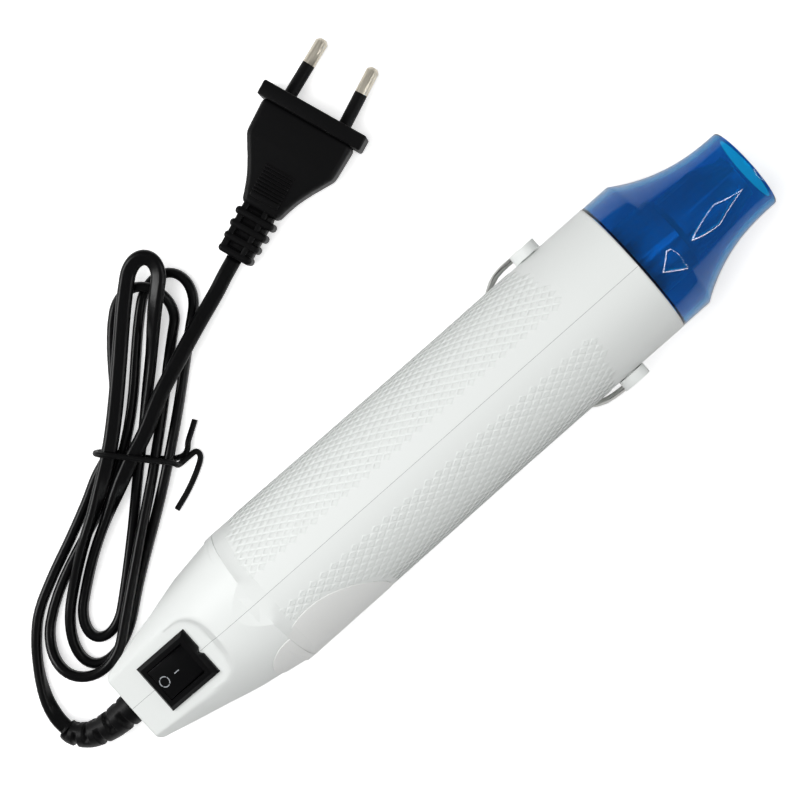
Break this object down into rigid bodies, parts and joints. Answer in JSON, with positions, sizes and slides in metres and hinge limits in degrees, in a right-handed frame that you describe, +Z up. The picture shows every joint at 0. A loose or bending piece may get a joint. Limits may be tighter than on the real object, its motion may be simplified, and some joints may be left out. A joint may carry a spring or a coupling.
{
  "type": "embossing heat tool",
  "caption": "Slim hand-held hot-air tool for embossing: white knurled barrel, flared blue nozzle guard, rocker switch, fold-out wire stand, and a bundled flat cord with a two-pin plug.",
  "frame": {"origin": "on the surface the tool lies on, under the middle of the tool without its free cord", "axes": "+X along the barrel to the nozzle, +Y to the side the cord lies on, +Z up; the tool lies on its tail and its folded stand with the switch on top"},
  "size_m": [0.264, 0.1385, 0.0475],
  "materials": {
    "white_shell": "satin moulded ABS",
    "blue_guard": "clear blue moulded polycarbonate",
    "nozzle_steel": "drawn stainless sheet",
    "ring_fibre": "pressed insulating fibre",
    "mica": "mica sheet",
    "heating_wire": "oxidised resistance wire",
    "zinc_plate": "zinc-plated steel",
    "heat_plastic": "heat-resistant moulded plastic",
    "fan_plastic": "moulded nylon",
    "shaft_steel": "turned steel",
    "board": "paper-phenolic board",
    "capacitor_body": "film capacitor",
    "black_plastic": "satin black nylon",
    "terminal_brass": "stamped brass",
    "wire_sleeve": "wire insulation",
    "cord_pvc": "satin black PVC",
    "wire_steel": "nickel-plated spring wire",
    "label_foil": "blank satin foil",
    "boot_rubber": "soft black PVC",
    "tie_pvc": "plastic-coated wire",
    "plug_plastic": "moulded black PVC",
    "pin_brass": "nickel-plated brass"
  },
  "bodies": {
    "housing": {"left_shell": "white_shell", "right_shell": "white_shell", "nozzle_guard": "blue_guard", "heat_nozzle": "nozzle_steel", "front_ring": "ring_fibre", "mica_sleeve": "mica", "heater_former": "mica", "heater_coil": "heating_wire", "thermal_cutout": "zinc_plate", "fan_housing": "heat_plastic", "motor_can": "zinc_plate", "motor_bracket": "heat_plastic", "motor_screws": "shaft_steel", "circuit_board": "board", "board_diodes": "heat_plastic", "board_capacitor": "capacitor_body", "switch_housing": "black_plastic", "switch_terminals": "terminal_brass", "inner_wires": "wire_sleeve", "inner_cord_end": "cord_pvc", "cord_clamp": "heat_plastic", "clamp_screws": "shaft_steel", "shell_screws": "shaft_steel", "rating_label": "label_foil", "cord_boot": "boot_rubber", "cord_lead": "cord_pvc", "cord_hank": "cord_pvc", "cord_plug_run": "cord_pvc", "cord_tie": "tie_pvc", "plug_body": "plug_plastic", "plug_pins": "pin_brass", "plug_pin_sleeves": "plug_plastic"},
    "rocker": {"switch_rocker": "black_plastic"},
    "rotor": {"fan": "fan_plastic", "motor_shaft": "shaft_steel"},
    "stand": {"stand_wire": "wire_steel", "stand_button_left": "white_shell", "stand_button_right": "white_shell"}
  },
  "joints": [
    {"name": "switch_rocker", "type": "hinge", "parent": "housing", "child": "rocker", "pos_m": [-0.0987, 0, 0.0322], "axis": [0, 1, 0], "range_deg": [-18, 0]},
    {"name": "fan_spin", "type": "hinge", "parent": "housing", "child": "rotor", "pos_m": [-0.02, 0, 0.0246], "axis": [1, 0, 0], "continuous": true},
    {"name": "stand_swing", "type": "hinge", "parent": "housing", "child": "stand", "pos_m": [0.0553, 0, 0.0246], "axis": [0, -1, 0], "range_deg": [0, 90]}
  ]
}
